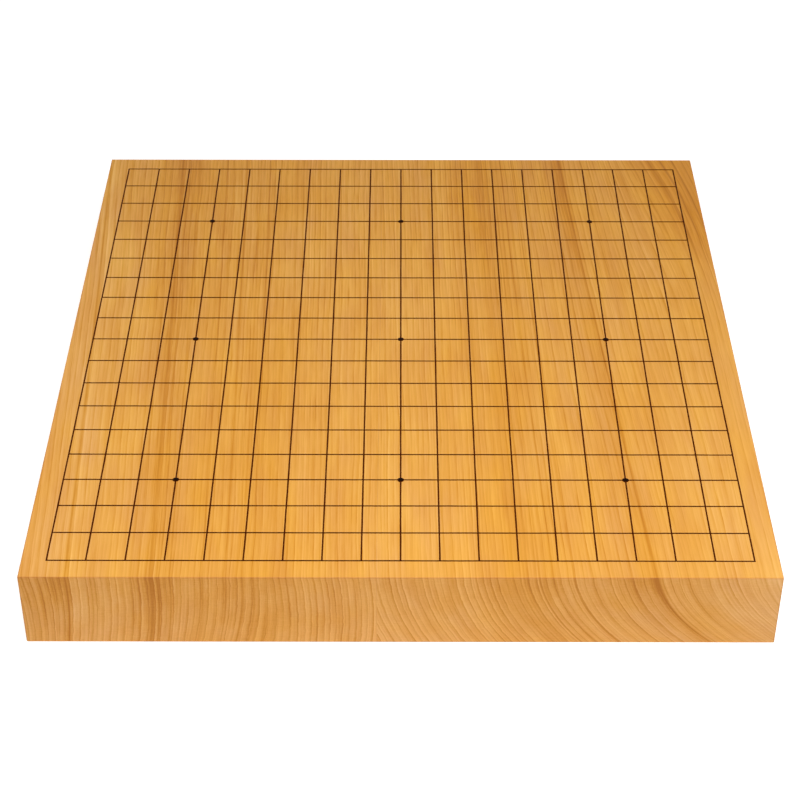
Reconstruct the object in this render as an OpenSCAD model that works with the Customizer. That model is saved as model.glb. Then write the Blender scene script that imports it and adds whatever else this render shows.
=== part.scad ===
// Go board for a table: a thick slab of two planks glued edge to edge, with chamfered edges all round,
// ruled on top with raised lacquer lines that cross one over the other, and with lacquer star points.
// Origin under the middle of the slab, X across the board, Y away from the near player, Z up.

/* [Grid] */
// Lines each way
line_count = 19; // [9, 13, 19]
// Spacing, across the board, of the lines that run away from the player
file_pitch = 22; // [18:0.1:26]
// Spacing, along the board, of the lines that run from left to right
rank_pitch = 23.7; // [18:0.1:28]
// Line, counted from the edge, that carries the outer star points
star_line = 4; // [3:1:4]

/* [Slab] */
// Bare wood outside the outermost lines at the left and right
side_margin = 14.3; // [6:0.1:30]
// Bare wood outside the outermost lines at the front and back
end_margin = 14; // [6:0.1:30]
// Thickness of the slab
slab_t = 49.4; // [15:0.1:90]
// Chamfer on every outer edge of the slab
edge_chamfer = 0.4; // [0.2:0.1:2]

/* [Glued joint] */
// Middle of the joint from the middle of the board, negative to the left
joint_x = -13.4; // [-50:0.1:50]
// Thickness of the glue film
glue_t = 0.12; // [0.08:0.02:0.4]

/* [Lacquer] */
// Width of a line on the wood
line_w = 1; // [0.7:0.05:1.6]
// Distance that each flank of a line leans in
line_flank = 0.22; // [0.1:0.02:0.3]
// Height of the lines that run away from the player
line_h = 0.12; // [0.08:0.02:0.24]
// Lacquer of a left to right line above the lines that it crosses
bridge_t = 0.08; // [0.06:0.02:0.2]
// Diameter of a star point on the wood
star_d = 4.2; // [3.2:0.1:6]
// Lacquer of a star point above the crossing that it covers
star_cover = 0.16; // [0.1:0.02:0.3]

/* [Hidden] */
$fn = 192;
// Overlap that lets a cut pass clear through a face
cut = 1;
last_line = line_count - 1;
grid_w = last_line * file_pitch;
grid_l = last_line * rank_pitch;
slab_w = grid_w + 2 * side_margin;
slab_l = grid_l + 2 * end_margin;
joint_left = joint_x - glue_t / 2;
joint_right = joint_x + glue_t / 2;
rank_h = line_h + bridge_t;
star_h = rank_h + star_cover;
// Radius of the arc that is star_h tall and star_d wide
star_arc_r = (pow(star_d / 2, 2) + pow(star_h, 2)) / (2 * star_h);

wood_left = [0.87, 0.62, 0.31];
wood_right = [0.89, 0.65, 0.33];
glue = [0.62, 0.4, 0.2];
lacquer = [0.13, 0.08, 0.05];

// Letters of the lines that run away from the player, which leave out the letter i
file_letters = "abcdefghjklmnopqrst";
files = [0 : last_line];
ranks = [0 : last_line];
star_steps = [star_line - 1, last_line / 2, last_line - star_line + 1];
// Each star point as its two line numbers, counted from the near left corner
stars = [for (i = star_steps) for (j = star_steps) [i, j]];

function file_name(i) = str("file_line_", file_letters[i]);
function rank_name(j) = str("rank_line_", j < 9 ? "0" : "", j + 1);
function star_name(s) = str("star_point_", file_letters[s[0]], s[1] + 1);
function file_x(i) = i * file_pitch - grid_w / 2;
function rank_y(j) = j * rank_pitch - grid_l / 2;

// Rectangle about the origin with its corners cut off
module chamfered_rectangle(w, l) {
    x = w / 2;
    y = l / 2;
    c = edge_chamfer;
    polygon([
        [x - c, -y], [x, c - y], [x, y - c], [x - c, y],
        [c - x, y], [-x, y - c], [-x, c - y], [c - x, -y]
    ]);
}

// Slab as planed, before it is told apart into planks and glue
module slab() {
    intersection() {
        linear_extrude(slab_t)
            chamfered_rectangle(slab_w, slab_l);
        translate([0, slab_l / 2, slab_t / 2])
            rotate([90, 0, 0])
                linear_extrude(slab_l)
                    chamfered_rectangle(slab_w, slab_t);
        translate([-slab_w / 2, 0, slab_t / 2])
            rotate([90, 0, 90])
                linear_extrude(slab_w)
                    chamfered_rectangle(slab_l, slab_t);
    }
}

// Share of the slab between two upright faces across its width
module slab_between(x_from, x_to) {
    intersection() {
        slab();
        translate([x_from, -slab_l / 2 - cut, -cut])
            cube([x_to - x_from, slab_l + 2 * cut, slab_t + 2 * cut]);
    }
}

module left_plank() {
    color(wood_left)
        slab_between(-slab_w / 2 - cut, joint_left);
}

module right_plank() {
    color(wood_right)
        slab_between(joint_right, slab_w / 2 + cut);
}

module glue_film() {
    color(glue)
        slab_between(joint_left, joint_right);
}

// Bead of lacquer along +Y from the origin, flat underneath and sloped at its flanks
module bead(length, height) {
    foot = line_w / 2;
    crown = foot - line_flank;
    rotate([-90, 0, 0])
        linear_extrude(length)
            polygon([[-foot, 0], [foot, 0], [crown, -height], [-crown, -height]]);
}

// Line away from the player, long enough to square off the outer corners
module file_bead(i) {
    translate([file_x(i), -(grid_l + line_w) / 2, slab_t])
        bead(grid_l + line_w, line_h);
}

// Line from left to right at its full height, before it is fitted over the lines that it crosses
module rank_bead(j) {
    translate([-(grid_w + line_w) / 2, rank_y(j), slab_t])
        rotate([0, 0, -90])
            bead(grid_w + line_w, rank_h);
}

module file_line(i) {
    color(lacquer)
        file_bead(i);
}

module rank_line(j) {
    color(lacquer)
        difference() {
            rank_bead(j);
            for (i = files) file_bead(i);
        }
}

// Half profile of a star point, turned about Z: the top of a circle that ends on the wood
module star_profile() {
    intersection() {
        translate([0, star_h - star_arc_r])
            circle(star_arc_r);
        square([star_d, star_d]);
    }
}

// Low cap of lacquer over one crossing
module star_point(s) {
    color(lacquer)
        difference() {
            translate([file_x(s[0]), rank_y(s[1]), slab_t])
                rotate_extrude()
                    star_profile();
            file_bead(s[0]);
            rank_bead(s[1]);
        }
}

left_plank();
right_plank();
glue_film();
for (i = files) file_line(i);
for (j = ranks) rank_line(j);
for (s = stars) star_point(s);
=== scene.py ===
"""Go board for a table: two softwood planks glued edge to edge, ruled with raised lacquer lines and star
points.

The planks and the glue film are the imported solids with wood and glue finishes. The lacquer lines and star
points are beads and drops worked out with numpy, each in the place of its solid. Names that end in _MM are
millimetres, and so are all lengths in the wood; other lengths are metres.
"""
import math

import bpy
import numpy as np
from mathutils import Euler, Matrix, Vector


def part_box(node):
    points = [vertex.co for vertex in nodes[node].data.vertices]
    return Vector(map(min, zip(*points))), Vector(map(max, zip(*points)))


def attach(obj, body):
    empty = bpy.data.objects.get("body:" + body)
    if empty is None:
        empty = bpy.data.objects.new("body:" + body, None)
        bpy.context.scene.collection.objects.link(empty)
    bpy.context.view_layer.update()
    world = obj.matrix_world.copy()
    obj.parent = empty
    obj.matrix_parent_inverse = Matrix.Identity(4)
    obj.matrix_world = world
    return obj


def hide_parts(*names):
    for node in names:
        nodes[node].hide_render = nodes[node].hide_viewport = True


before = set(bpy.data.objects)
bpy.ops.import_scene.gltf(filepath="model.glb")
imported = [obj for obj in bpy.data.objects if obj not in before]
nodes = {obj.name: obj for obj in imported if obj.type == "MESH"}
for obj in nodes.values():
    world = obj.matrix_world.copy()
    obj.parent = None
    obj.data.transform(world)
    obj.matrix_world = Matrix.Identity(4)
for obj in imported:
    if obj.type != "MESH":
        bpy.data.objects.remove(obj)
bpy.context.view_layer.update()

MM = 0.001
LINE_LETTERS = "abcdefghjklmnopqrst"
LINE_COUNT = len(LINE_LETTERS)
STAR_LETTERS = "dkq"
STAR_RANKS = (4, 10, 16)

SLAB_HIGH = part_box("right_plank")[1]
WOOD_TOP = SLAB_HIGH[2]
HALF_WIDTH_MM = SLAB_HIGH[0] / MM
HALF_LENGTH_MM = SLAB_HIGH[1] / MM
THICKNESS_MM = WOOD_TOP / MM
CHAMFER_MM = 0.4


def srgb(red, green, blue):
    """Linear colour with full alpha from a display colour given as 0 to 255."""
    shares = np.array([red, green, blue]) / 255.0
    linear = np.where(shares <= 0.04045, shares / 12.92, ((shares + 0.055) / 1.055) ** 2.4)
    return (*linear.tolist(), 1.0)


class Wiring:
    """Adds nodes to one node tree; a socket given as a value is linked, and a plain value is set."""

    def __init__(self, tree):
        self.tree = tree

    def put(self, socket, value):
        if isinstance(value, bpy.types.NodeSocket):
            self.tree.links.new(value, socket)
        else:
            socket.default_value = value

    def node(self, kind, **settings):
        made = self.tree.nodes.new(kind)
        for name, value in settings.items():
            setattr(made, name, value)
        return made

    def math(self, operation, *values):
        made = self.node("ShaderNodeMath", operation=operation)
        for socket, value in zip(made.inputs, values):
            self.put(socket, value)
        return made.outputs[0]

    def step(self, value, start, end, low=0.0, high=1.0):
        """Smooth step of a value from start to end, put out between low and high."""
        made = self.node("ShaderNodeMapRange", interpolation_type="SMOOTHSTEP")
        for socket, given in zip(made.inputs, (value, start, end, low, high)):
            self.put(socket, given)
        return made.outputs["Result"]

    def steps(self, value, first, *others):
        """Sum of smooth steps of one value, each given as start, end, low and high."""
        total = self.step(value, *first)
        for other in others:
            total = self.math("ADD", total, self.step(value, *other))
        return total

    def point(self, x, y, z=0.0):
        made = self.node("ShaderNodeCombineXYZ")
        for socket, value in zip(made.inputs, (x, y, z)):
            self.put(socket, value)
        return made.outputs[0]

    def in_lengths(self, values, lengths):
        """Values as multiples of lengths."""
        return [self.math("DIVIDE", value, length) for value, length in zip(values, lengths)]

    def object_place(self, scale):
        """Place on the object, in metres times a scale."""
        made = self.node("ShaderNodeVectorMath", operation="SCALE")
        self.put(made.inputs[0], self.node("ShaderNodeTexCoord").outputs["Object"])
        made.inputs["Scale"].default_value = scale
        return made.outputs[0]

    def apart(self, vector):
        """The three numbers of a vector."""
        made = self.node("ShaderNodeSeparateXYZ")
        self.put(made.inputs[0], vector)
        return made.outputs

    def noise(self, vector, detail=2.0, roughness=0.5):
        """Smooth noise about 0, mostly within a quarter either way, one cycle to a unit of the vector."""
        made = self.node("ShaderNodeTexNoise", noise_dimensions="3D")
        self.put(made.inputs["Vector"], vector)
        made.inputs["Scale"].default_value = 1.0
        made.inputs["Detail"].default_value = detail
        made.inputs["Roughness"].default_value = roughness
        return self.math("SUBTRACT", made.outputs["Fac"], 0.5)

    def bounded(self, value, low, high):
        made = self.node("ShaderNodeClamp")
        for socket, given in zip(made.inputs, (value, low, high)):
            self.put(socket, given)
        return made.outputs[0]

    def mix(self, share, first, second, blend="MIX", clamp=True):
        """Blend of two colours; without the clamp, a share below 0 or above 1 goes on past a colour."""
        made = self.node("ShaderNodeMix", data_type="RGBA", blend_type=blend, clamp_factor=clamp)
        for place, value in ((0, share), (6, first), (7, second)):
            self.put(made.inputs[place], value)
        return made.outputs[2]

    def group(self, tree, values):
        made = self.node("ShaderNodeGroup", node_tree=tree)
        for name, value in values.items():
            self.put(made.inputs[name], value)
        return made.outputs


def new_group(name, inputs, outputs):
    """Empty shader group of number sockets, with its wiring, its inner inputs and its inner outputs."""
    tree = bpy.data.node_groups.new(name, "ShaderNodeTree")
    for side, labels in (("INPUT", inputs), ("OUTPUT", outputs)):
        for label in labels:
            tree.interface.new_socket(label, in_out=side, socket_type="NodeSocketFloat")
    wiring = Wiring(tree)
    return tree, wiring, wiring.node("NodeGroupInput").outputs, wiring.node("NodeGroupOutput").inputs


def new_material(name):
    """New material with its wiring and its shader."""
    material = bpy.data.materials.new(name)
    material.use_nodes = True
    return material, Wiring(material.node_tree), material.node_tree.nodes["Principled BSDF"]


BUMP_MM = 0.05


def put_relief(w, bsdf, height, strength):
    """Fine relief of the surface from a height."""
    bump = w.node("ShaderNodeBump")
    bump.inputs["Strength"].default_value = strength
    bump.inputs["Distance"].default_value = BUMP_MM * MM
    w.put(bump.inputs["Height"], height)
    w.put(bsdf.inputs["Normal"], bump.outputs[0])


# Growth rings: how far noise of 1 makes them wander and ripple, and its lengths across, along and down
WANDER_MM = 6.0
WANDER_LENGTHS_MM = (60.0, 150.0)
RIPPLE_MM = 1.4
RIPPLE_LENGTHS_MM = (7.0, 34.0, 5.0)
# By how many rings noise of 1 puts their count ahead, and its length across
PACE_RINGS = 1.5
PACE_LENGTH_MM = 15.0
# What noise of 1 adds to their strength, its lengths along and down, and how far apart two rings are in it
PATCHY_STRENGTH = 1.5
PATCHY_LENGTHS_MM = (32.0, 40.0)
PATCHY_RING_STEP = 7.3
# Least strength that a ring draws
WEAKEST_RING = 0.5
# Share of a ring from which its late wood breaks off
LATE_BREAK = 0.92
LATE_FADE_MM = 0.65
EARLY_FADE_MM = 0.7
# Factors that keep the draws for one ring apart
STRENGTH_DRAW = 17.3
EARLY_DRAW = 3.1
TONE_DRAW = -5.9


def make_growth_rings():
    """Rings across a label in millimetres: the label wanders along the grain and is cut, at an uneven pace,
    into rings whose width grows steadily with the label, so their count is a logarithm of it. Late wood
    dies away from a ring's end as an exponential of the distance, and the pale early wood from its start in
    the same way; each ring has a strength and a tone of its own."""
    tree, w, given, out = new_group(
        "growth_rings",
        ("Label", "Along", "Depth", "Ring width", "Widening", "Seed"),
        ("Late wood", "Early wood", "Ring tone"),
    )
    label, along, depth, seed = given["Label"], given["Along"], given["Depth"], given["Seed"]
    wander = w.noise(w.point(*w.in_lengths((label, along), WANDER_LENGTHS_MM), seed), detail=1.0)
    ripple_place = w.point(*w.in_lengths((label, along, depth), RIPPLE_LENGTHS_MM))
    ripple = w.noise(ripple_place, detail=3.0, roughness=0.6)
    wandered = w.math("MULTIPLY_ADD", wander, WANDER_MM, label)
    strayed = w.math("MULTIPLY_ADD", ripple, RIPPLE_MM, wandered)
    width = w.math("MULTIPLY_ADD", strayed, given["Widening"], given["Ring width"])
    count = w.math("DIVIDE", w.math("LOGARITHM", width, math.e), given["Widening"])
    pace = w.noise(w.point(w.math("DIVIDE", strayed, PACE_LENGTH_MM), seed))
    turns = w.math("MULTIPLY_ADD", pace, PACE_RINGS, count)
    ring = w.math("FLOOR", turns)
    phase = w.math("SUBTRACT", turns, ring)

    def drawn(factor):
        """A number from 0 to 1 for each ring."""
        made = w.node("ShaderNodeTexWhiteNoise", noise_dimensions="1D")
        w.put(made.inputs["W"], w.math("MULTIPLY_ADD", seed, factor, ring))
        return made.outputs["Value"]

    def faded(share, fade):
        """Exponential of a share of the ring's width, in millimetres, over a fade."""
        return w.math("EXPONENT", w.math("MULTIPLY", share, w.math("DIVIDE", width, -fade)))

    ring_place = w.math("MULTIPLY", ring, PATCHY_RING_STEP)
    patchy = w.noise(w.point(ring_place, *w.in_lengths((along, depth), PATCHY_LENGTHS_MM)))
    drawn_strength = w.step(drawn(STRENGTH_DRAW), 0.0, 1.0, WEAKEST_RING, 1.0)
    strength = w.math("MULTIPLY_ADD", patchy, PATCHY_STRENGTH, drawn_strength)
    before_end = w.math("SUBTRACT", 1.0, phase)
    late = w.math("MULTIPLY", faded(before_end, LATE_FADE_MM), w.step(phase, 1.0, LATE_BREAK))
    w.put(out["Late wood"], w.math("MULTIPLY", late, w.math("MAXIMUM", strength, 0.0)))
    w.put(out["Early wood"], w.math("MULTIPLY", faded(phase, EARLY_FADE_MM), drawn(EARLY_DRAW)))
    w.put(out["Ring tone"], w.math("SUBTRACT", drawn(TONE_DRAW), 0.5))
    return tree


# Noise in the wood: its lengths across the rings, along the grain and down, its detail and its roughness
FIBRE_NOISE = {
    "Fibre": ((0.45, 14.0, 0.45), 2.0, 0.6),
    "Layer": ((1.6, 36.0, 30.0), 3.0, 0.6),
    "Flush": ((13.0, 65.0, 17.0), 2.0, 0.5),
    "Patch": ((24.0, 110.0, 24.0), 2.0, 0.5),
    "Ray": ((5.0, 12.0, 0.8), 2.0, 0.5),
}


def make_fibres():
    """Noise drawn out along the grain at four scales across it: fibres as fine as pores, layers that follow
    the rings down the end grain, a flush of hue, and slow patches. Rays are noise drawn out across the
    rings instead."""
    tree, w, given, out = new_group("wood_fibres", ("Label", "Along", "Depth"), tuple(FIBRE_NOISE))
    place = (given["Label"], given["Along"], given["Depth"])
    for name, (lengths, detail, roughness) in FIBRE_NOISE.items():
        w.put(out[name], w.noise(w.point(*w.in_lengths(place, lengths)), detail, roughness))
    return tree


# What noise of 1 adds to a whole band, and its lengths across the rings and along the grain
BROKEN_BAND = 1.6
BROKEN_LENGTHS_MM = (9.0, 75.0)


def make_grain_band():
    """One band along the grain: a bell across the label about its place, faded in along the board and
    broken up by slow noise."""
    tree, w, given, out = new_group(
        "grain_band", ("Label", "Along", "Place", "Half width", "Fade from", "Fade to"), ("Mask",)
    )
    label, along, place = given["Label"], given["Along"], given["Place"]
    offset = w.math("DIVIDE", w.math("SUBTRACT", label, place), given["Half width"])
    bell = w.math("EXPONENT", w.math("MULTIPLY", w.math("MULTIPLY", offset, offset), -1.0))
    faded = w.math("MULTIPLY", bell, w.step(along, given["Fade from"], given["Fade to"]))
    broken = w.noise(w.point(*w.in_lengths((label, along), BROKEN_LENGTHS_MM), place), detail=1.0)
    w.put(out["Mask"], w.math("MULTIPLY", faded, w.math("MULTIPLY_ADD", broken, BROKEN_BAND, 1.0)))
    return tree


# Distance from an end within which all wood is end grain
END_SKIN_MM = 0.08


def make_slab_zones():
    """Eased edge: where the two smaller of the distances to the sides, ends and broad faces add up to about
    the chamfer. End grain: where the distance to an end is next to nothing."""
    tree, w, given, out = new_group("slab_zones", ("X", "Y", "Z"), ("Edge", "End"))
    side = w.math("SUBTRACT", HALF_WIDTH_MM, w.math("ABSOLUTE", given["X"]))
    end = w.math("SUBTRACT", HALF_LENGTH_MM, w.math("ABSOLUTE", given["Y"]))
    face = w.math("MINIMUM", given["Z"], w.math("SUBTRACT", THICKNESS_MM, given["Z"]))
    largest = w.math("MAXIMUM", side, w.math("MAXIMUM", end, face))
    nearest_two = w.math("SUBTRACT", w.math("ADD", side, w.math("ADD", end, face)), largest)
    w.put(out["Edge"], w.step(nearest_two, CHAMFER_MM * 2.0, CHAMFER_MM))
    w.put(out["End"], w.step(end, CHAMFER_MM, END_SKIN_MM))
    return tree


GROWTH_RINGS = make_growth_rings()
FIBRES = make_fibres()
GRAIN_BAND = make_grain_band()
SLAB_ZONES = make_slab_zones()

# Left plank: how far down a ring bows out most, its bend, and the bow at the top, which is taken off
LEFT_BOW_DEPTH_MM = 17.0
LEFT_BOW_BEND = 0.0025
LEFT_BOW_AT_TOP_MM = 0.72
# Lean of its rings, as steps across the board that add up, and their drift along it: as it would be at the
# middle of the board, and its growth for each millimetre to the right
LEFT_LEANS = ((-140.0, -115.0, -0.025, -0.075), (-92.0, -58.0, 0.0, 0.13), (-180.0, -210.0, 0.0, 0.13))
LEFT_DRIFT = -0.007
LEFT_DRIFT_GROWTH = 0.00024


def left_plank_label(w, x, y, depth):
    """Where a ring of the left plank meets the near top edge. Down the end grain a ring bows like a bracket
    and leans one way or the other across the plank, most of all near the left side; along the board it
    drifts left, more so further left."""
    from_bow = w.math("POWER", w.math("SUBTRACT", depth, LEFT_BOW_DEPTH_MM), 2.0)
    bow = w.math("MULTIPLY_ADD", from_bow, LEFT_BOW_BEND, -LEFT_BOW_AT_TOP_MM)
    lean = w.steps(x, *LEFT_LEANS)
    drift = w.math("MULTIPLY_ADD", x, LEFT_DRIFT_GROWTH, LEFT_DRIFT)
    upright = w.math("SUBTRACT", w.math("ADD", x, bow), w.math("MULTIPLY", lean, depth))
    return w.math("SUBTRACT", upright, w.math("MULTIPLY", drift, w.math("ADD", y, HALF_LENGTH_MM)))


# Right plank: the upright line that its rings flare from, the height above the top where they are upright,
# and the square of the depth over which they spread by the factor e
FLARE_FROM_MM = -128.0
FLARE_ABOVE_MM = 12.0
FLARE_SPREAD_MM2 = 30000.0
# Drift of its rings along the board, and their turn behind a line across it, as steps across the board
RIGHT_DRIFTS = ((40.0, 130.0, -0.014, -0.062), (150.0, 205.0, 0.0, 0.04))
TURN_FROM_MM = 20.0
TURN = (115.0, 205.0, 0.0, 0.0004)


def right_plank_label(w, x, y, depth):
    """Where a ring of the right plank meets the near top edge. Rings flare to the right with the square of
    the depth below a line just above the top, more so further right; along the board they drift left, and
    towards the back right corner they turn left with the square of the distance."""
    squared_depth = w.math("POWER", w.math("ADD", depth, FLARE_ABOVE_MM), 2.0)
    at_top = FLARE_ABOVE_MM ** 2 / FLARE_SPREAD_MM2
    narrowing = w.math("EXPONENT", w.math("MULTIPLY_ADD", squared_depth, -1.0 / FLARE_SPREAD_MM2, at_top))
    flared = w.math("MULTIPLY_ADD", w.math("SUBTRACT", x, FLARE_FROM_MM), narrowing, FLARE_FROM_MM)
    drift = w.steps(x, *RIGHT_DRIFTS)
    drifted = w.math("SUBTRACT", flared, w.math("MULTIPLY", drift, w.math("ADD", y, HALF_LENGTH_MM)))
    towards_back = w.math("MAXIMUM", w.math("SUBTRACT", y, TURN_FROM_MM), 0.0)
    turn = w.math("MULTIPLY", w.math("POWER", towards_back, 2.0), w.step(x, *TURN))
    return w.math("ADD", drifted, turn)


# Wood from its palest early wood to its darkest late wood, once where it is pale and once where it is amber
PALE_EARLY = srgb(240, 179, 95)
PALE_LATE = srgb(219, 151, 52)
AMBER_EARLY = srgb(236, 169, 69)
AMBER_LATE = srgb(215, 143, 38)
# Streaks that are darker still, and the shade at which their colour sets in
DEEP_STREAK = srgb(188, 114, 4)
DEEP_FROM = 0.9
# Shares of light that end grain and eased edges keep
END_TINT = srgb(229, 228, 247)
EDGE_TINT = srgb(232, 220, 196)

# Where a band fades in along the board: from, to
ALWAYS = (-1000.0, -900.0)
FRONT_HALF = (120.0, -60.0)
FRONT_END = (-40.0, -190.0)
BACK_HALF = (-60.0, 120.0)
BACK_END = (40.0, 150.0)
# Bands on all faces: place at the near top edge, half width, where it fades in, added shade, paleness and
# blush
LEFT_BANDS = (
    (-203.0, 14.0, ALWAYS, 0.05, 0.0, 0.7),
    (-188.0, 30.0, ALWAYS, -0.05, 0.45, 0.0),
    (-186.0, 0.7, ALWAYS, 0.6, 0.0, 0.0),
    (-178.0, 18.0, BACK_HALF, -0.1, 0.15, -0.3),
    (-172.0, 0.6, ALWAYS, 0.3, 0.0, 0.0),
    (-139.0, 0.9, ALWAYS, 0.5, 0.0, 0.0),
    (-137.0, 8.5, ALWAYS, 0.25, -0.1, 0.6),
    (-135.0, 0.5, ALWAYS, 0.3, 0.0, 0.0),
    (-128.0, 0.6, ALWAYS, 0.4, 0.0, 0.0),
    (-110.0, 0.6, ALWAYS, 0.45, 0.0, 0.0),
    (-97.0, 0.7, ALWAYS, 0.6, 0.0, 0.0),
    (-95.0, 24.0, FRONT_HALF, 0.03, -0.22, 0.0),
    (-88.0, 0.6, ALWAYS, 0.4, 0.0, 0.0),
    (-82.0, 0.6, ALWAYS, 0.4, 0.0, 0.0),
    (-73.0, 9.0, FRONT_HALF, 0.1, -0.22, 0.15),
    (-40.0, 26.0, BACK_HALF, -0.05, 0.25, -0.2),
)
RIGHT_BANDS = (
    (0.0, 22.0, ALWAYS, -0.05, 0.15, -0.1),
    (36.0, 9.0, ALWAYS, -0.15, 0.05, -0.15),
    (60.0, 24.0, ALWAYS, 0.05, -0.35, 0.15),
    (66.0, 5.0, BACK_END, 0.2, -0.2, 0.15),
    (77.0, 0.6, ALWAYS, 0.5, 0.0, 0.0),
    (85.0, 0.6, ALWAYS, 0.55, 0.0, 0.0),
    (96.0, 0.6, ALWAYS, 0.5, 0.0, 0.0),
    (130.0, 6.0, ALWAYS, 0.12, 0.25, 0.7),
    (139.0, 4.0, ALWAYS, 0.12, -0.1, 0.4),
    (140.0, 5.0, BACK_END, 0.25, -0.35, 0.1),
    (142.0, 0.8, ALWAYS, 0.8, 0.0, 0.2),
    (196.0, 30.0, FRONT_END, -0.05, 0.25, 0.0),
    (210.0, 10.0, FRONT_HALF, -0.15, 0.15, 0.1),
    (212.0, 0.9, BACK_END, 0.6, 0.0, 0.0),
    (214.0, 5.0, BACK_HALF, 0.0, -0.3, 0.4),
    (219.0, 0.9, BACK_END, 0.7, 0.0, 0.0),
    (223.0, 18.0, BACK_END, 0.2, -0.7, 0.2),
    (226.0, 0.8, BACK_END, 0.5, 0.0, 0.0),
)
# Bands on the end grain alone, and streaks that die away below its upper half: the same numbers
LEFT_END_BANDS = ((-197.0, 13.0, ALWAYS, 0.15, -0.35, 0.0), (-187.5, 1.0, ALWAYS, 0.3, 0.0, 0.0))
RIGHT_END_BANDS = ((205.0, 40.0, ALWAYS, -0.1, 0.35, 0.0),)
LEFT_UPPER_STREAKS = ((-191.0, 8.0, ALWAYS, 0.2, -0.1, 0.3), (-139.0, 8.0, ALWAYS, 0.25, 0.0, 0.3))
RIGHT_UPPER_STREAKS = ((128.0, 6.0, ALWAYS, 0.15, -0.2, 0.0), (140.5, 2.0, ALWAYS, 0.5, -0.3, 0.0))
# Depths on the end grain where the upper streaks have died away and where they are full
UPPER_STREAK_DEPTHS_MM = (30.0, 4.0)
# What the other marks, and the painted light and shade, add to shade, paleness and blush
MARK_GAINS = {
    "late wood": (1.0, 0.0, 0.0),
    "early wood": (-0.4, 0.0, 0.0),
    "ring tone": (0.15, 0.0, 0.0),
    "fine late wood": (0.35, 0.0, 0.0),
    "fine early wood": (-0.3, 0.0, 0.0),
    "fibre": (0.5, 0.0, 0.0),
    "layer": (0.9, 0.0, 0.0),
    "patch": (0.15, -1.7, 0.0),
    "flush": (0.0, 0.0, 4.5),
    "ray": (0.4, 0.0, 0.0),
    # painted light and shade: the end grain paler towards the bottom and darker towards the top
    "painted light low on end grain": (-0.27, 0.0, 0.0),
    # painted shade: darker and more amber towards the back, where less light falls
    "towards the back": (0.13, -0.15, 0.0),
}
# Width of the finer rings as a share of the rings
FINE_SHARE = 0.5
# Depth on the end grain above which painted shade makes the wood darker and below which painted light makes
# it paler
PAINTED_LIGHT_MIDDLE_MM = 15.0
# Places along the board between which painted shade makes the wood darker and more amber towards the back
PAINTED_SHADE_BACK_MM = (20.0, 200.0)
# Contrast of the shade as a step along the board, what end grain adds to it, and the share of the blush
# that end grain takes off
CONTRAST = (-150.0, HALF_LENGTH_MM, 1.0, 1.25)
END_CONTRAST = 0.6
END_BLUSH_LOSS = 0.6
# Shade, paleness and blush of plain wood, and the least and most of each
MIDDLE_TONE = (0.4, 0.5, 0.0)
TONE_BOUNDS = ((-0.35, 2.0), (-0.3, 1.4), (-1.0, 1.0))
# Shares of red, green and blue that wood keeps at the most golden and at the rosiest
GOLDEN_SHARES = (1.05, 1.08, 0.965, 1.0)
ROSY_SHARES = (0.95, 0.92, 1.035, 1.0)
# Roughness of plain wood, and what late wood and layers add to it
WOOD_ROUGHNESS = 0.52
LATE_ROUGHNESS = -0.08
LAYER_ROUGHNESS = 0.2
# Relief of fibres and of late wood, and its strength
FIBRE_RELIEF = 0.8
LATE_RELIEF = 0.5
WOOD_RELIEF = 0.35
WOOD_SPECULAR = 0.3


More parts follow.
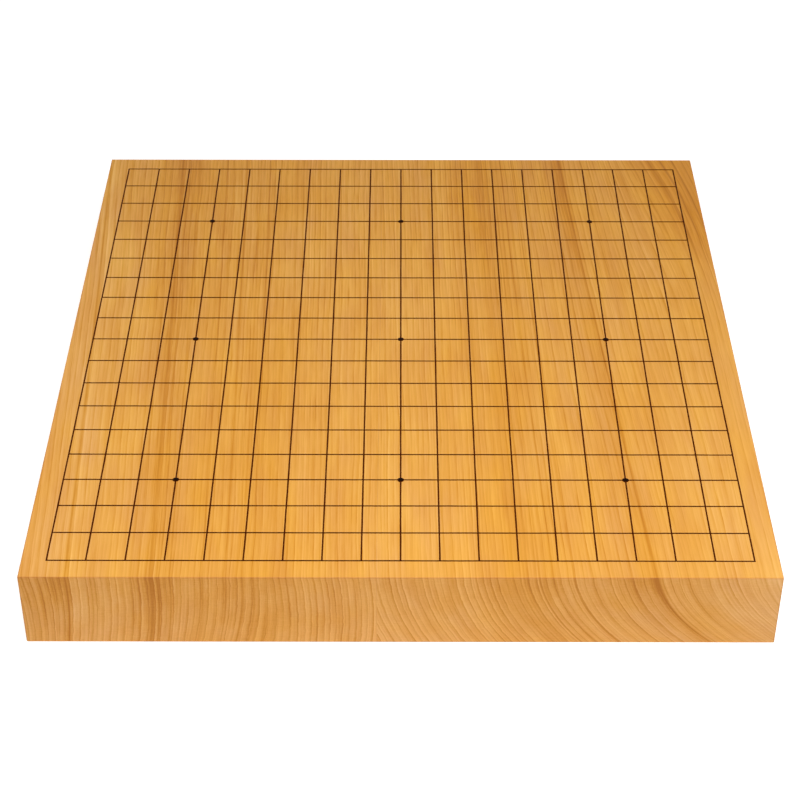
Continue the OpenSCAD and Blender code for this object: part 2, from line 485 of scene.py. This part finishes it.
def wood_material(name, label_of, ring_width, widening, seed, fine_on_end, bands, end_bands, upper_streaks):
    """Satin softwood. Rings, finer rings between them, fibres and bands on one ring label add up to a
    shade, slow patches and bands to a paleness, and a flush and bands to a blush from golden to rosy; end
    grain has more contrast and, like the eased edges, less light. Painted light makes the end grain paler
    towards the bottom and darker towards the top, and painted shade darkens the wood towards the back."""
    material, w, bsdf = new_material(name)
    x, y, z = w.apart(w.object_place(1.0 / MM))
    depth = w.math("SUBTRACT", THICKNESS_MM, z)
    where = {"Label": label_of(w, x, y, depth), "Along": y}
    zones = w.group(SLAB_ZONES, {"X": x, "Y": y, "Z": z})
    fibres = w.group(FIBRES, {**where, "Depth": depth})

    def ring_marks(share):
        """Rings at a share of the plank's ring width."""
        settings = {"Ring width": share * ring_width, "Widening": share * widening, "Seed": seed + share}
        return w.group(GROWTH_RINGS, {**where, "Depth": depth, **settings})

    def band_mask(place, half_width, fade):
        settings = {"Place": place, "Half width": half_width, "Fade from": fade[0], "Fade to": fade[1]}
        return w.group(GRAIN_BAND, {**where, **settings})["Mask"]

    def on_end(mask):
        return w.math("MULTIPLY", mask, zones["End"])

    rings = ring_marks(1.0)
    fine = ring_marks(FINE_SHARE)
    fine_level = w.math("MULTIPLY_ADD", zones["End"], fine_on_end - 1.0, 1.0)
    # Painted light and shade down the end grain: paler below the middle depth, darker above it
    low = w.math("DIVIDE", w.math("SUBTRACT", depth, PAINTED_LIGHT_MIDDLE_MM), THICKNESS_MM)
    upper_end = on_end(w.step(depth, *UPPER_STREAK_DEPTHS_MM))
    marks = {
        "late wood": rings["Late wood"],
        "early wood": rings["Early wood"],
        "ring tone": rings["Ring tone"],
        "fine late wood": w.math("MULTIPLY", fine["Late wood"], fine_level),
        "fine early wood": w.math("MULTIPLY", fine["Early wood"], fine_level),
        "fibre": fibres["Fibre"],
        "layer": fibres["Layer"],
        "patch": fibres["Patch"],
        "flush": fibres["Flush"],
        "ray": on_end(fibres["Ray"]),
        "painted light low on end grain": on_end(low),
        # Painted shade towards the back
        "towards the back": w.step(y, *PAINTED_SHADE_BACK_MM),
    }
    parts = [
        *((marks[mark], gains) for mark, gains in MARK_GAINS.items()),
        *((band_mask(*band[:3]), band[3:]) for band in bands),
        *((on_end(band_mask(*band[:3])), band[3:]) for band in end_bands),
        *((w.math("MULTIPLY", band_mask(*streak[:3]), upper_end), streak[3:]) for streak in upper_streaks),
    ]
    tone = list(MIDDLE_TONE)
    for mask, gains in parts:
        for place, gain in enumerate(gains):
            if gain:
                tone[place] = w.math("MULTIPLY_ADD", mask, gain, tone[place])
    middle_shade = MIDDLE_TONE[0]
    contrast = w.math("MULTIPLY_ADD", zones["End"], END_CONTRAST, w.step(y, *CONTRAST))
    tone[0] = w.math("MULTIPLY_ADD", w.math("SUBTRACT", tone[0], middle_shade), contrast, middle_shade)
    tone[2] = w.math("MULTIPLY", tone[2], w.math("MULTIPLY_ADD", zones["End"], -END_BLUSH_LOSS, 1.0))
    shade, paleness, blush = (w.bounded(level, *bounds) for level, bounds in zip(tone, TONE_BOUNDS))

    late_share = w.math("MINIMUM", shade, 1.0)
    pale = w.mix(late_share, PALE_EARLY, PALE_LATE, clamp=False)
    amber = w.mix(late_share, AMBER_EARLY, AMBER_LATE, clamp=False)
    colour = w.mix(paleness, amber, pale, clamp=False)
    colour = w.mix(w.math("SUBTRACT", shade, DEEP_FROM), colour, DEEP_STREAK)
    hue = w.mix(w.math("MULTIPLY_ADD", blush, 0.5, 0.5), GOLDEN_SHARES, ROSY_SHARES)
    colour = w.mix(1.0, colour, hue, "MULTIPLY")
    colour = w.mix(zones["End"], colour, w.mix(1.0, colour, END_TINT, "MULTIPLY"))
    colour = w.mix(zones["Edge"], colour, w.mix(1.0, colour, EDGE_TINT, "MULTIPLY"))
    w.put(bsdf.inputs["Base Color"], colour)

    satin = w.math("MULTIPLY_ADD", rings["Late wood"], LATE_ROUGHNESS, WOOD_ROUGHNESS)
    w.put(bsdf.inputs["Roughness"], w.math("MULTIPLY_ADD", fibres["Layer"], LAYER_ROUGHNESS, satin))
    ridges = w.math("MULTIPLY", rings["Late wood"], LATE_RELIEF)
    put_relief(w, bsdf, w.math("MULTIPLY_ADD", fibres["Fibre"], FIBRE_RELIEF, ridges), WOOD_RELIEF)
    bsdf.inputs["Specular IOR Level"].default_value = WOOD_SPECULAR
    return material


THICK_GLUE = srgb(206, 142, 66)
THIN_GLUE = srgb(184, 118, 52)
# Cycles of the noise to a metre, its levels where the film is thick and where it is thin, the roughness,
# and what noise of 1 adds to it
GLUE_CYCLES = 120.0
GLUE_LEVELS = (-0.2, 0.2)
GLUE_ROUGHNESS = 0.5
THIN_GLUE_ROUGHNESS = 0.2


def glue_material():
    """Amber glue film, a little darker where it is thin."""
    material, w, bsdf = new_material("amber_glue")
    thin = w.noise(w.object_place(GLUE_CYCLES))
    w.put(bsdf.inputs["Base Color"], w.mix(w.step(thin, *GLUE_LEVELS), THICK_GLUE, THIN_GLUE))
    w.put(bsdf.inputs["Roughness"], w.math("MULTIPLY_ADD", thin, THIN_GLUE_ROUGHNESS, GLUE_ROUGHNESS))
    return material


THIN_LACQUER = srgb(94, 37, 0)
THICK_LACQUER = srgb(20, 8, 2)
# Height above the wood from which lacquer is darkest
DARKEST_AT_MM = 0.3
LACQUER_ROUGHNESS = 0.45
# Cycles of the noise to a metre, and what noise of 1 adds to the height that gives the colour and to the
# roughness
LACQUER_CYCLES = 400.0
UNEVEN_MM = -0.1
UNEVEN_ROUGHNESS = 0.3
LACQUER_RELIEF = 0.2
LACQUER_SPECULAR = 0.02


def lacquer_material():
    """Brown-black lacquer with a satin skin: brown where it is thin, almost black where it stands three
    tenths of a millimetre above the wood, and faintly uneven."""
    material, w, bsdf = new_material("brown_black_lacquer")
    uneven = w.noise(w.object_place(LACQUER_CYCLES), detail=3.0)
    height = w.apart(w.object_place(1.0 / MM))["Z"]
    layer = w.math("SUBTRACT", height, THICKNESS_MM)
    seen_layer = w.math("MULTIPLY_ADD", uneven, UNEVEN_MM, layer)
    darkness = w.step(seen_layer, 0.0, DARKEST_AT_MM)
    w.put(bsdf.inputs["Base Color"], w.mix(darkness, THIN_LACQUER, THICK_LACQUER))
    w.put(bsdf.inputs["Roughness"], w.math("MULTIPLY_ADD", uneven, UNEVEN_ROUGHNESS, LACQUER_ROUGHNESS))
    bsdf.inputs["Specular IOR Level"].default_value = LACQUER_SPECULAR
    put_relief(w, bsdf, uneven, LACQUER_RELIEF)
    return material


LACQUER = lacquer_material()


def lacquer_piece(name, node, points, faces):
    """Smooth mesh object of points in millimetres and faces, which takes the place of a solid."""
    mesh = bpy.data.meshes.new(name)
    mesh.from_pydata((points.reshape(-1, 3) * MM).tolist(), [], faces)
    mesh.polygons.foreach_set("use_smooth", np.ones(len(mesh.polygons), dtype=bool))
    mesh.materials.append(LACQUER)
    piece = bpy.data.objects.new(name, mesh)
    bpy.context.scene.collection.objects.link(piece)
    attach(piece, "root")
    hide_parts(node)


# Waves of the hand that drew the lines: share, length in millimetres, and phase from line to line
HAND_WAVES = ((0.6, 9.7, 1.7), (0.4, 3.9, 2.9))


def hand(along, line):
    """Slow unevenness of a drawn line, within 1 either way: a sum of sine waves whose phases differ from
    line to line."""
    return sum(share * np.sin(along / length + phase * line) for share, length, phase in HAND_WAVES)


BEAD_ARC = np.linspace(0.0, math.pi, 9)


def lacquer_bead(name, node, middle, along_axis, along, half_width, height):
    """Bead along a straight line: at each place along it, half an ellipse stands on the wood, its feet
    joined underneath; both ends are closed by flat caps. All in millimetres; along runs up the given
    axis."""
    across_axis = 1 - along_axis
    points = np.empty((len(along), len(BEAD_ARC), 3))
    points[:, :, along_axis] = along[:, None]
    points[:, :, across_axis] = middle[:, None] + half_width[:, None] * np.cos(BEAD_ARC)
    points[:, :, 2] = THICKNESS_MM + height[:, None] * np.sin(BEAD_ARC)
    index = np.arange(points.shape[0] * points.shape[1]).reshape(points.shape[:2])
    ahead = np.roll(index, -1, axis=1)
    sides = np.stack([index[:-1], ahead[:-1], ahead[1:], index[1:]], axis=-1).reshape(-1, 4)
    faces = [*sides.tolist(), index[0][::-1].tolist(), index[-1].tolist()]
    if along_axis == 1:
        faces = [face[::-1] for face in faces]
    lacquer_piece(name, node, points, faces)


FILE_HEIGHT_MM = 0.12
RANK_HEIGHT_MM = 0.2
CROSSING_RISE_MM = 0.02
CROSSING_REACH_MM = 0.8
END_ROUND_MM = 0.4
# Least share of its size that a bead keeps at its ends, and extra places in the rounding as shares of it
END_SHARE = 0.35
END_PLACES = np.array([0.0, 0.08, 0.25, 0.55])
FILE_SPACING_MM = 2.2
RANK_SPACING_MM = 0.9
# How much the hand changes a line's width, height and place
WIDTH_UNEVEN = 0.05
HEIGHT_UNEVEN = 0.08
STRAY_MM = 0.03
# Shifts that give heights another unevenness than widths, and left to right lines another than the others
HEIGHT_SHIFT_MM = 40.0
RANK_SHIFT = 31


def end_taper(along):
    """Quarter circle that brings a bead in at both of its ends, down to about a third."""
    from_end = np.minimum(along - along[0], along[-1] - along)
    inward = np.clip(from_end / END_ROUND_MM, 0.0, 1.0)
    return np.maximum(np.sqrt(1.0 - (1.0 - inward) ** 2), END_SHARE)


def places_along(low, high, spacing):
    """Even places from low to high, with extra ones in the rounded ends."""
    inner = np.linspace(low + END_ROUND_MM, high - END_ROUND_MM, int((high - low) / spacing))
    round_end = END_ROUND_MM * END_PLACES
    return np.concatenate([low + round_end, inner, high - round_end[::-1]])


def rule_lines():
    """The lines away from the player, then the lines over them, which rise in a small bell at each
    crossing."""
    crossings = []
    for number, letter in enumerate(LINE_LETTERS):
        node = f"file_line_{letter}"
        low, high = (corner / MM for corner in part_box(node))
        middle = (low[0] + high[0]) / 2
        crossings.append(middle)
        along = places_along(low[1], high[1], FILE_SPACING_MM)
        taper = end_taper(along)
        uneven = hand(along, number)
        half_width = (high[0] - low[0]) / 2 * (1.0 + WIDTH_UNEVEN * uneven) * taper
        uneven_height = hand(along + HEIGHT_SHIFT_MM, number)
        height = FILE_HEIGHT_MM * (1.0 + HEIGHT_UNEVEN * uneven_height) * taper
        lacquer_bead(f"drawn_file_{letter}", node, middle + STRAY_MM * uneven, 1, along, half_width, height)
    crossings = np.array(crossings)
    for number in range(LINE_COUNT):
        node = f"rank_line_{number + 1:02d}"
        low, high = (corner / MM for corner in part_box(node))
        along = places_along(low[0], high[0], RANK_SPACING_MM)
        taper = end_taper(along)
        uneven = hand(along, number + RANK_SHIFT)
        humps = np.exp(-(((along[:, None] - crossings) / CROSSING_REACH_MM) ** 2)).sum(axis=1)
        half_width = (high[1] - low[1]) / 2 * (1.0 + WIDTH_UNEVEN * uneven) * taper
        height = (RANK_HEIGHT_MM + CROSSING_RISE_MM * humps) * taper
        middle = (low[1] + high[1]) / 2 + STRAY_MM * uneven
        lacquer_bead(f"drawn_rank_{number + 1:02d}", node, middle, 0, along, half_width, height)


STAR_HEIGHT_MM = 0.36
STAR_POWER = 0.7
STAR_ROUNDS = np.array([0.3, 0.55, 0.75, 0.88, 0.96, 1.0])
STAR_TURN = np.linspace(0.0, 2.0 * math.pi, 36, endpoint=False)
# How far the rim is out of round, as an oval and as a rounded triangle
STAR_OVAL = 0.02
STAR_TRIANGLE = 0.012


def star_point(name, node, number):
    """Drop of lacquer: height falls from the middle with the 0.7th power of one less the squared share of
    the radius, and the rim is faintly out of round. The top closes in one point and the foot in one flat
    face."""
    low, high = (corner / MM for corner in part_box(node))
    middle = (low + high) / 2
    oval = STAR_OVAL * np.cos(2 * STAR_TURN + number)
    triangle = STAR_TRIANGLE * np.cos(3 * STAR_TURN - 2 * number)
    rim = (high[0] - low[0]) / 2 * (1.0 + oval + triangle)
    points = np.empty((len(STAR_ROUNDS), len(STAR_TURN), 3))
    points[:, :, 0] = middle[0] + STAR_ROUNDS[:, None] * rim * np.cos(STAR_TURN)
    points[:, :, 1] = middle[1] + STAR_ROUNDS[:, None] * rim * np.sin(STAR_TURN)
    points[:, :, 2] = THICKNESS_MM + STAR_HEIGHT_MM * (1.0 - STAR_ROUNDS[:, None] ** 2) ** STAR_POWER
    index = np.arange(points.shape[0] * points.shape[1]).reshape(points.shape[:2])
    ahead = np.roll(index, -1, axis=1)
    sides = np.stack([index[:-1], index[1:], ahead[1:], ahead[:-1]], axis=-1).reshape(-1, 4)
    crown = np.stack([index[0], ahead[0], np.full(len(STAR_TURN), index.size)], axis=-1)
    foot = index[-1][::-1]
    top = [[middle[0], middle[1], THICKNESS_MM + STAR_HEIGHT_MM]]
    every_point = np.concatenate([points.reshape(-1, 3), top])
    lacquer_piece(name, node, every_point, [*sides.tolist(), *crown.tolist(), foot.tolist()])


def mark_star_points():
    """A drop on each crossing of the fourth, tenth and sixteenth lines."""
    for column, letter in enumerate(STAR_LETTERS):
        for row, rank in enumerate(STAR_RANKS):
            number = len(STAR_RANKS) * column + row
            star_point(f"drop_{letter}{rank}", f"star_point_{letter}{rank}", number)


# Each plank: how its rings run, their width at the middle of the board and its growth across, the seed of
# its draws, the level of the finer rings on its end grain, and its bands
PLANKS = {
    "left_plank": {
        "label_of": left_plank_label,
        "ring_width": 3.45,
        "widening": -0.0047,
        "seed": 1.0,
        "fine_on_end": 0.6,
        "bands": LEFT_BANDS,
        "end_bands": LEFT_END_BANDS,
        "upper_streaks": LEFT_UPPER_STREAKS,
    },
    "right_plank": {
        "label_of": right_plank_label,
        "ring_width": 3.6,
        "widening": 0.0095,
        "seed": 2.0,
        "fine_on_end": 0.65,
        "bands": RIGHT_BANDS,
        "end_bands": RIGHT_END_BANDS,
        "upper_streaks": RIGHT_UPPER_STREAKS,
    },
}


def dress_planks():
    """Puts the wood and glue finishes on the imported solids."""
    for plank, settings in PLANKS.items():
        nodes[plank].material_slots[0].material = wood_material(f"{plank}_wood", **settings)
    nodes["glue_film"].material_slots[0].material = glue_material()


def seen_directly(w):
    """1 for rays from the camera, a reflection or a pane, and 0 for rays that carry light."""
    path = w.node("ShaderNodeLightPath").outputs
    reflected = w.math("MAXIMUM", path["Is Glossy Ray"], path["Is Transmission Ray"])
    return w.math("MAXIMUM", path["Is Camera Ray"], reflected)


FLOOR_REACH = 4.0
FLOOR_LEVEL = -0.2 * MM
FLOOR_PAINT = srgb(235, 235, 235)
# Glow of the floor near the board, and the distances between which it grows to plain white
FLOOR_GLOW = 0.6
GLOW_DISTANCES = (0.6, 1.6)


def lay_floor():
    """Wide pale floor just under the board; its glow for direct sight makes it white and leaves the shadow,
    and grows to plain white with the distance from the board."""
    mesh = bpy.data.meshes.new("studio_floor")
    ways = ((-1, -1), (1, -1), (1, 1), (-1, 1))
    corners = [(x * FLOOR_REACH, y * FLOOR_REACH, FLOOR_LEVEL) for x, y in ways]
    mesh.from_pydata(corners, [], [(0, 1, 2, 3)])
    material, w, bsdf = new_material("pale_floor")
    material.node_tree.nodes.remove(bsdf)
    matt = w.node("ShaderNodeBsdfDiffuse")
    matt.inputs["Color"].default_value = FLOOR_PAINT
    glow = w.node("ShaderNodeEmission")
    away = w.node("ShaderNodeVectorMath", operation="LENGTH")
    w.put(away.inputs[0], w.node("ShaderNodeTexCoord").outputs["Object"])
    glow_level = w.step(away.outputs["Value"], *GLOW_DISTANCES, FLOOR_GLOW, 1.0)
    w.put(glow.inputs["Strength"], w.math("MULTIPLY", seen_directly(w), glow_level))
    both = w.node("ShaderNodeAddShader")
    w.put(both.inputs[0], matt.outputs[0])
    w.put(both.inputs[1], glow.outputs[0])
    w.put(material.node_tree.nodes["Material Output"].inputs["Surface"], both.outputs[0])
    mesh.materials.append(material)
    floor = bpy.data.objects.new("studio_floor", mesh)
    bpy.context.scene.collection.objects.link(floor)


# Share of their white that the surroundings give as light
SKY_FILL = 0.19
# Each soft box: name, place, width and height in metres, and watts
SOFT_BOXES = (
    ("front_soft_box", (0.1, -0.75, 1.05), 1.0, 0.7, 16.2),
    ("left_fill", (-0.95, 0.7, 0.07), 0.6, 0.12, 3.0),
    ("right_fill", (0.95, 0.7, 0.07), 0.6, 0.12, 3.0),
)


def place_soft_box(name, place, width, height, watts):
    """Rectangular lamp that faces the middle of the board."""
    lamp = bpy.data.lights.new(name, "AREA")
    lamp.shape = "RECTANGLE"
    lamp.size = width
    lamp.size_y = height
    lamp.energy = watts
    soft_box = bpy.data.objects.new(name, lamp)
    soft_box.location = place
    soft_box.rotation_euler = (-Vector(place)).to_track_quat("-Z", "Y").to_euler()
    soft_box.visible_camera = False
    bpy.context.scene.collection.objects.link(soft_box)


def light_studio():
    """White surroundings, dimmer as a light than as a sight, one soft box above the near player, and two
    low ones that light the back and the sides."""
    world = bpy.data.worlds.new("white_studio")
    world.use_nodes = True
    w = Wiring(world.node_tree)
    sky = world.node_tree.nodes["Background"]
    sky.inputs["Color"].default_value = (1.0, 1.0, 1.0, 1.0)
    w.put(sky.inputs["Strength"], w.math("MULTIPLY_ADD", seen_directly(w), 1.0 - SKY_FILL, SKY_FILL))
    bpy.context.scene.world = world
    for soft_box in SOFT_BOXES:
        place_soft_box(*soft_box)


SENSOR_MM = 36.0
LENS_MM = 90.03
LOOK_DOWN_DEGREES = 37.198
ROLL_DEGREES = 0.086
CAMERA_PLACE = (-0.00045, -1.0495, 0.7475 + WOOD_TOP)


def set_camera():
    """Camera at the place and angle of the photograph: in front of the near edge, looking down on the
    board."""
    lens = bpy.data.cameras.new("photo_camera")
    lens.sensor_width = SENSOR_MM
    lens.lens = LENS_MM
    camera = bpy.data.objects.new("photo_camera", lens)
    tilt = Euler((math.radians(90.0 - LOOK_DOWN_DEGREES), 0.0, 0.0)).to_matrix()
    turn = tilt @ Matrix.Rotation(math.radians(ROLL_DEGREES), 3, "Z")
    camera.matrix_world = Matrix.Translation(CAMERA_PLACE) @ turn.to_4x4()
    bpy.context.scene.collection.objects.link(camera)
    bpy.context.scene.camera = camera


set_camera()
dress_planks()
rule_lines()
mark_star_points()
lay_floor()
light_studio()
bpy.context.scene.view_settings.view_transform = "Standard"
